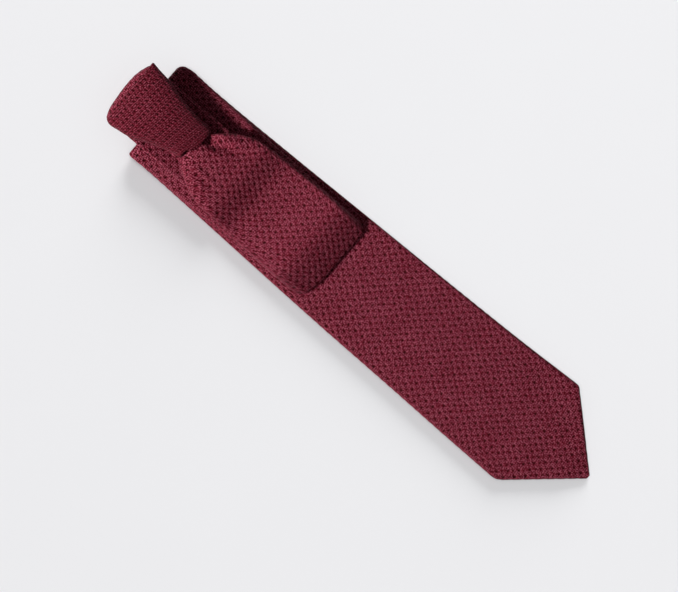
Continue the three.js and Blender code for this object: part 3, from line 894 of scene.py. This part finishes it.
def knot_wrap():
    """The turn of silk round the knot, folded in at both of its edges."""
    angle = np.linspace(222, -42, WRAP_STEPS + 1)
    middle = knot_point(np.full_like(angle, -160), angle)
    arc = line_lengths(middle)
    arc = (arc - arc[WRAP_STEPS // 2])[:, None]
    y = middle[:, 1]
    start = WRAP_START_X + 0.5 * ((y + 3) / 22) ** 2 - 0.8 * ease((y - 8) / 8)
    end = WRAP_END_X - 4.6 * ease((-6 - y) / 9)
    half = np.full_like(angle, WRAP_HALF)
    seam = (end - start) / 2 - WRAP_HEM
    x, n, across = section(start, end, half, half * 1.5, seam, counts=(8, 6, 80))[:3]
    turn = angle[:, None] + 0 * x
    point = knot_point(x, turn)
    normal = np.cross(knot_point(x + 0.05, turn) - point, knot_point(x, turn - 0.2) - point)
    normal /= np.linalg.norm(normal, axis=2, keepdims=True)
    surface = point + normal * (n - WRAP_HALF)[..., None]
    cloth = knot_cloth(across, arc)
    # The wrap wears the darker copy of the silk: painted shade.
    piece = sheet_piece("knot_wrap", surface, cloth, SILK, shaded_knot_silk, -1, relief=0.3)
    hides(piece, ["knot_front_wrap"], ("knot_end",))


def solid_loft(name, rings, cloth, node):
    """Closed rings of silk joined into one solid, with a fan at each end, on the knot's body."""
    count, around = rings.shape[:2]
    index = np.arange(count * around).reshape(count, around)
    beside = np.roll(index, -1, axis=1)
    first, last = count * around, count * around + 1
    faces = ring_faces(index)
    faces += [[first, int(b), int(a)] for a, b in zip(index[0], beside[0])]
    faces += [[last, int(a), int(b)] for a, b in zip(index[-1], beside[-1])]
    points, uv = (
        np.concatenate([grid.reshape(-1, grid.shape[2]), grid[[0, -1]].mean(axis=1)])
        for grid in (rings, cloth)
    )
    if volume(points, faces) < 0:
        faces = [face[::-1] for face in faces]
    hides(new_piece(name, points, faces, uv, silk), [node], ("knot_end",))


def knot_inside():
    """The crossings inside the knot, and the wrap across its back."""
    x = np.linspace(-179, -133, 45)[:, None]
    angle = np.linspace(0, 360, 73)[None, :-1]
    rings = knot_point(x + 0 * angle, angle + 0 * x, inset=3.0)
    rings[..., 2] += 0.35 * np.sin(np.radians(angle * 5) + x * 0.4)
    solid_loft("knot_inner", rings, knot_cloth(rings[..., 0], rings[..., 1] * 1.6), "knot_core")

    x = np.linspace(-186, -138, 49)[:, None]
    low, high = curve(KNOT_LOW_EDGE, x) + 4.5, curve(KNOT_HIGH_EDGE, x) - 4.5
    c, s = np.cos(np.radians(angle)), np.sin(np.radians(angle))
    y = (low + high) / 2 + (high - low) / 2 * np.sign(c) * np.abs(c) ** 0.35
    z = 18.3 + 1.05 * np.sign(s) * np.abs(s) ** 0.6
    rings = np.stack([x + 0 * y, y, z + 0 * x], axis=-1)
    solid_loft("knot_back", rings, knot_cloth(rings[..., 0], rings[..., 1]), "knot_back_wrap")


# ---- The neck loop ----

NEAR_BEND = (-186.35, 19.2)  # x and z of each bend's centre
FAR_BEND = (-108.3, 12.65)
TURN = (-186.3, 10.45)
TURN_RADIUS = 1.1
NEAR_END_X = -150  # where the near sides end and the band at the back goes on
BAND_HALF = 0.95  # half a band's thickness
BAND_WIDTH = 35
BAND_GRID = 1.0
LEFT_LOW, RIGHT_LOW = -26, -16.5  # the low edge of each side
LEVEL_Z = [9.35 + 2.2 * k for k in range(4)]  # the middles of the four stacked layers
LEDGE_RISE = 2.8
KNOT_END_X = -178  # the near sides flare and shift beyond this, where they leave the knot


def band(name, strip, low, high, nodes, wool_nodes, flat):
    """A stretch of the neck band, with the wool in it."""
    half = np.full_like(low, BAND_HALF)
    seam = np.full_like(low, LEAST_SEAM)
    strip.envelope(name, (low, high), half, seam, half, nodes, flat, wall=BAND_SILK, relief=0.2,
                   step=BAND_GRID)
    strip.filling(name + "_wool", (low, low + BAND_WIDTH), half - BAND_SILK - 0.12, 1.2, 0.6,
                  wool_nodes, (0.033, flat[1]))


def band_near(side, radius, low, face, shift, blend_z, length, flare=0.0):
    """One side of the band: out of the knot, round its end and under it."""
    x, z = NEAR_BEND
    route = Path(0, BAND_GRID)
    route.flat(-180.5, x, z + radius, face)
    route.bend(x, z, radius, radius, radius, side=-1, face=face, start=90)
    route.flat(x, NEAR_END_X, z - radius, -face)
    path = route.table()

    def skew(row_x, y, normal_z):
        return np.clip((KNOT_END_X - row_x) / 10, 0, 1) * shift(y), 0 * y

    strip = Strip(path, ("knot_end", "neck_near", *between(*blend_z)), skew, warp=ledge_warp,
                  facing=-face)
    edge = np.full_like(path[0], low)
    widened = edge + BAND_WIDTH + flare * ease((KNOT_END_X - path[0]) / 6)
    band("neck_band_" + side, strip, edge, widened, [f"neck_{side}_near", f"neck_bend_{side}_near"],
         [f"neck_{side}_near_interlining"], (0.073, length))


def ledge_warp(path, surface):
    """The low edge of the layer at the third level stands up a little beside the knot."""
    x, z = path[0][:, None], path[1][:, None]
    there = (np.abs(z - LEVEL_Z[2]) < 0.1) * plateau(x, -186, -109, 6, 6)
    return LEDGE_RISE * there * np.clip((-15 - surface[..., 1]) / 10, 0, 1)


def left_shift(y):
    """How far the left side's bend stands in from its furthest reach."""
    reach = ((-26, 4.2), (-21.5, 2.3), (-11.5, 0.7), (-1.5, 0), (8.5, 0.6), (13, 1.8), (17.5, 3.6))
    return curve(reach, y)


def right_shift(y):
    """The same for the right side's."""
    return curve(((-16.5, 0.6), (8, 0.6), (13, 1.0), (18.5, 2.0)), y)


def neck_loop():
    """The loop pressed flat: a near side on each hand, and the band that joins them at the back."""
    band_near("left", 5.45, LEFT_LOW, 1, left_shift, (23.7, 16.6), 0.06, flare=8.5)
    band_near("right", 3.25, RIGHT_LOW, -1, right_shift, (21.5, 16.9), 0.053)

    x, z = FAR_BEND
    turn_x, turn_z = TURN
    outer, inner = LEVEL_Z[3] - z, LEVEL_Z[2] - z
    route = Path(-120, BAND_GRID)
    route.flat(NEAR_END_X, x, LEVEL_Z[3], 1)
    route.bend(x, z, outer, outer, outer, side=1, face=1, start=90)
    route.flat(x, turn_x, LEVEL_Z[0], -1)
    route.bend(turn_x, turn_z, TURN_RADIUS, TURN_RADIUS, TURN_RADIUS, side=-1, face=1)
    route.flat(turn_x, x, LEVEL_Z[1], 1)
    route.bend(x, z, inner, inner, inner, side=1, face=-1)
    route.flat(x, NEAR_END_X, LEVEL_Z[2], -1)
    path = route.table()
    share = (path[4][0] - path[4]) / (path[4][0] - path[4][-1])
    low = RIGHT_LOW + (LEFT_LOW - RIGHT_LOW) * ease((share - 0.2) / 0.6)
    place = ("neck_near", "neck_far", *between(LEVEL_Z[2] - BAND_HALF, LEVEL_Z[1] + BAND_HALF))
    nodes = ["neck_left_near", "neck_right_near", "neck_left_far", "neck_right_far", "neck_turn",
             "neck_bend_left_far", "neck_bend_right_far"]
    band("neck_band_back", Strip(path, place, warp=ledge_warp), low, low + BAND_WIDTH, nodes,
         ["neck_left_far_interlining", "neck_right_far_interlining"], (0.076, 0.26))


# ---- The tail ----

TAIL_Y = (TAIL_LOW[1] + TAIL_HIGH[1]) / 2
TAIL_TIP_X = TAIL_HIGH[0]
TAIL_HALF = 1.2  # half its thickness
TAIL_START_X = -137  # inside the knot


def tail_bottom(x):
    """Down from the knot to the middle layer, and down with it where it is pressed."""
    rise = 17.2
    return rise - (rise - TAIL_LOW[2]) * ease((x + 107) / 24) - 1.4 * ease((x + 50) / 17)


def tail_half(x):
    return TAIL_HALF - 0.4 * ease((x - TAIL_TIP_X + 8) / 8)


def tail_middle(x):
    return tail_bottom(x) + tail_half(x)


def tail_half_width(x):
    """Half the tail's width: gathered where it leaves the knot, and pointed at its tip."""
    full = (TAIL_HIGH[1] - TAIL_Y) * (0.55 + 0.45 * ease((x + 133) / 26))
    return round_min(full, 1.4 + (TAIL_TIP_X - x) * 0.98, 1.2)


def tail_edges(x):
    wide = tail_half_width(x)
    return TAIL_Y - wide, TAIL_Y + wide


def tail():
    """The narrow end, out of the knot and under the upper layer."""
    route = Path(TAIL_START_X, GRID)
    route.flat(TAIL_START_X, TAIL_TIP_X, tail_middle, 1)
    strip = Strip(route.table(), ("tail",))
    x = strip.path[0]
    half = tail_half(x)
    edges = tail_edges(x)
    opened = LEAST_SEAM + 0.3 * np.maximum(x + 58, 0)
    seam = np.maximum(np.minimum(opened, tail_half_width(x) - 7), LEAST_SEAM)
    strip.envelope("tail_silk", edges, half, seam, half, ["tail_shell"], (0.08, 0.106), wall=0.5,
                   relief=0.25)
    strip.filling("tail_wool", edges, np.full_like(x, 0.55), 1.6, 0.6, ["tail_interlining"],
                  (0.033, 0.096), x < TAIL_TIP_X - 8)


# ---- What is sewn on ----

THREAD_SIDES = 8
STITCH_RADIUS = 0.2
TACK_RADIUS = 0.24


def flat_sheet(node, step, thick, material, body, outline=None, inset=0.0,
               rise=0.0):
    """A thin level sheet that looks down, in a CAD node's box or inset from an outline's edges."""
    low, high = span(node)
    x = evenly(low[0], high[0], step)
    edges = outline(x) if outline else (0 * x + low[1], 0 * x + high[1])
    start, end = edges[0] + inset, edges[1] - inset
    y = start[:, None] + (end - start)[:, None] * np.linspace(0, 1, 25)[None, :]
    surface = np.stack([x[:, None] + 0 * y, y, low[2] + rise + 0 * y], axis=-1)
    piece = sheet_piece(node + "_cloth", surface, surface[..., :2], thick, material, -1, ratio=1)
    hides(piece, [node], (body,))


def ring_tube(points, radius):
    """Rings of a tube along a line of points."""
    along = np.gradient(points, axis=0)
    along /= np.linalg.norm(along, axis=1, keepdims=True)
    side = np.cross(along, (0, 0, 1))
    side /= np.maximum(np.linalg.norm(side, axis=1, keepdims=True), 1e-6)
    up = np.cross(side, along)
    turn = np.linspace(0, 2 * np.pi, THREAD_SIDES, endpoint=False)[None, :, None]
    return points[:, None] + radius * (np.cos(turn) * side[:, None] + np.sin(turn) * up[:, None])


def threads(node, lines, radius, body):
    """Several short threads as one piece, each a tube whose ends dive into the cloth."""
    points, faces, uv = [], [], []
    for line in lines:
        tube = ring_tube(line, radius).reshape(-1, 3)
        index = np.arange(len(tube)).reshape(-1, THREAD_SIDES)
        own = ring_faces(index) + [index[0][::-1].tolist(), index[-1].tolist()]
        if volume(tube - tube.mean(axis=0), own) < 0:
            own = [face[::-1] for face in own]
        start = sum(len(part) for part in points)
        faces += [[i + start for i in face] for face in own]
        points.append(tube)
        around = np.arange(THREAD_SIDES) * 0.4
        cloth = np.broadcast_arrays(line_lengths(line)[:, None], around[None, :])
        uv.append(np.stack(cloth, axis=-1).reshape(-1, 2))
    piece = new_piece(node + "_thread", np.concatenate(points), faces, np.concatenate(uv), thread)
    hides(piece, [node], (body,))


def slip_stitches(node, xs, edges, level, out, body):
    """Slanting stitches across a seam. out is the way the seam looks: +1 up, -1 down."""
    share = np.linspace(0, 1, 9)
    lines = []
    for x, seam_z in zip(xs, np.broadcast_to(level, xs.shape)):
        height = seam_z + out * (0.12 - 0.75 * np.abs(2 * share - 1) ** 4)
        y = np.mean(edges(x)) + 1.5 * (share - 0.5)
        lines.append(np.stack([x + 3.2 * share, y, height], axis=-1))
    threads(node, lines, STITCH_RADIUS, body)


def bar_tack(node, level, body):
    """A bundle of threads across the seam, whipped over by closer ones, all on its underside."""
    (x0, y0), (x1, y1) = (corner[:2] for corner in span(node))
    share = np.linspace(0, 1, 13)
    lines = []
    for x in evenly(x0 + 0.5, x1 - 0.5, 0.8):
        height = level - (0.1 - 0.55 * np.abs(2 * share - 1) ** 6)
        lines.append(np.stack([x + 0 * share, y0 + (y1 - y0) * share, height], axis=-1))
    for y in evenly(y0 + 0.8, y1 - 0.8, 0.55):
        height = level - (0.32 - 0.7 * np.abs(2 * share - 1) ** 4)
        lines.append(np.stack([x0 + (x1 - x0) * share, y + 0 * share, height], axis=-1))
    threads(node, lines, TACK_RADIUS, body)


def keeper_loop():
    """A band of the tie's own silk across the back, its ends turned up and sewn under the flaps."""
    low, high = span("keeper_loop")
    top, bottom, bend = high[2], low[2] + 0.03, 0.45
    turn = np.radians(np.linspace(90, 0, 5))
    end_y = high[1] - np.concatenate([[4, 2], bend - bend * np.cos(turn), [0]])
    end_z = np.concatenate([[top, top], top - bend + bend * np.sin(turn), [bottom + 0.3]])
    across = evenly(high[1] - bend, low[1] + bend, 2)
    y = np.concatenate([end_y, across, low[1] + high[1] - end_y[::-1]])
    z = np.concatenate([end_z, np.full_like(across, bottom), end_z[::-1]])
    length = line_lengths(np.stack([y, z], axis=-1))
    x, y, z, length = np.broadcast_arrays(
        evenly(low[0], high[0], 1)[None, :], y[:, None], z[:, None], length[:, None]
    )
    surface = np.stack([x, y, z], axis=-1)
    cloth = np.stack([x, length], axis=-1)
    piece = sheet_piece("keeper_loop_cloth", surface, cloth, 0.35, silk, -1, ratio=1)
    hides(piece, ["keeper_loop"], ("blade",))


def sewn_on():
    """Linings, labels, keeper loop, and the stitches along the seams, clear of the bar tacks."""
    flat_sheet("blade_tipping", 2, 0.3, lining, "blade", blade_edges, 3.4,
               rise=0.05)
    flat_sheet("tail_tipping", 1, 0.3, lining, "tail", tail_edges, 3.2)
    flat_sheet("maker_label", 1, 0.35, tape, "blade")
    flat_sheet("care_label", 1, 0.2, tape, "tail")
    keeper_loop()

    xs = evenly(-156, 84, 9)
    xs = xs[(xs < 78) | (xs > 88)]
    slip_stitches("slip_stitch_blade", xs, blade_edges, 0.02 + back_rise(xs), -1, "blade")
    tack_low, tack_high = span("tail_bar_tack")
    xs = evenly(-150, -56, 9)
    xs = xs[(xs < tack_low[0] - 5) | (xs > tack_high[0] + 7)]
    slip_stitches("slip_stitch_middle", xs, layer_edges, MIDDLE_HIGH[2], 1, "middle_layer")
    xs = evenly(-78, -45, 9)
    slip_stitches("slip_stitch_upper", xs, upper_edges, UPPER_FLAT_Z, -1, "knot_end")
    bar_tack("blade_bar_tack", 0.45, "blade")
    bar_tack("tail_bar_tack", tack_low[2] + 0.25, "tail")


upper_silk(lower_silk())
knot_wrap()
knot_inside()
neck_loop()
tail()
sewn_on()


# ---- Stage, light and camera ----

IMAGE_WIDTH_M = 0.4339  # what the picture's width covers on the floor
LENS = 135
SENSOR = 36
ROLL = 40.5  # the blade points this far below the picture's horizontal, in degrees
FLOOR_HALF = 3.0
FLOOR_Z = -0.0002  # just under the lowest silk
AIM = Vector((-0.00355, -0.01585, 0))


def photo_direction(right, down, height):
    """A direction given as right and down in the picture and up from the floor."""
    roll = math.radians(ROLL)
    x = right * math.cos(roll) + down * math.sin(roll)
    y = right * math.sin(roll) - down * math.cos(roll)
    return Vector((x, y, height)).normalized()


def area_light(name, direction, distance, size, power):
    light = bpy.data.lights.new(name, "AREA")
    light.shape, light.size, light.energy = "DISK", size, power
    lamp = add_object(name, light)
    lamp.location = AIM + direction * distance
    lamp.rotation_mode = "QUATERNION"
    lamp.rotation_quaternion = direction.to_track_quat("Z", "Y")
    return lamp


def floor_material():
    material, tree, surface = new_material("studio_floor", 0.95, 0.1, 0.0)
    place = tree.nodes.new("ShaderNodeTexCoord")
    grain = noise(tree, place.outputs["Object"], 12)
    tint(tree, surface, grain, ((0.0, (0.80, 0.80, 0.815)), (1.0, (0.81, 0.81, 0.825))))
    return material


def stage():
    corners = ((-1, -1), (1, -1), (1, 1), (-1, 1))
    points = [(x * FLOOR_HALF, y * FLOOR_HALF, FLOOR_Z) for x, y in corners]
    mesh = bpy.data.meshes.new("studio_floor")
    mesh.from_pydata(points, [], [(0, 1, 2, 3)])
    mesh.materials.append(floor_material())
    ground = add_object("studio_floor", mesh)
    return ground


def collection(name, pieces):
    group = bpy.data.collections.new(name)
    for piece in pieces:
        group.objects.link(piece)
    return group


def lights(ground):
    """A soft key from the picture's left for the tie, and broad lights for the floor alone."""
    world = bpy.data.worlds.new("studio")
    world.use_nodes = True
    sky = world.node_tree.nodes["Background"].inputs
    sky["Color"].default_value = (1, 1, 1.01, 1)
    sky["Strength"].default_value = 0.22
    bpy.context.scene.world = world
    key = area_light("key", photo_direction(-1.0, 0.12, 0.82), 1.6, 0.32, 51)
    over = area_light("over", photo_direction(0.0, 0.0, 1.0), 8.0, 5.0, 380)
    low = area_light("low", photo_direction(0.35, -1.0, 0.16), 8.0, 5.4, 1250)
    meshes = [piece for piece in bpy.context.scene.objects if piece.type == "MESH"]
    goods = collection("goods", [piece for piece in meshes if piece != ground])
    key.light_linking.receiver_collection = goods
    floor_only = collection("ground", [ground])
    lowest = collection("lowest", [bpy.data.objects["blade_silk"]])
    for lamp in (over, low):
        lamp.light_linking.receiver_collection = floor_only
        lamp.light_linking.blocker_collection = lowest


def camera():
    lens = bpy.data.cameras.new("camera")
    lens.lens, lens.sensor_width, lens.sensor_fit = LENS, SENSOR, "HORIZONTAL"
    distance = IMAGE_WIDTH_M * LENS / SENSOR
    lens.clip_start, lens.clip_end = 0.05, 20
    view = add_object("camera", lens)
    right = photo_direction(1, 0, 0)
    up = photo_direction(0, -1, 0)
    turned = Matrix((right, up, right.cross(up))).transposed()
    view.matrix_world = Matrix.Translation(AIM + Vector((0, 0, distance))) @ turned.to_4x4()
    bpy.context.scene.camera = view


lights(stage())
camera()
bpy.context.scene.view_settings.view_transform = "Standard"
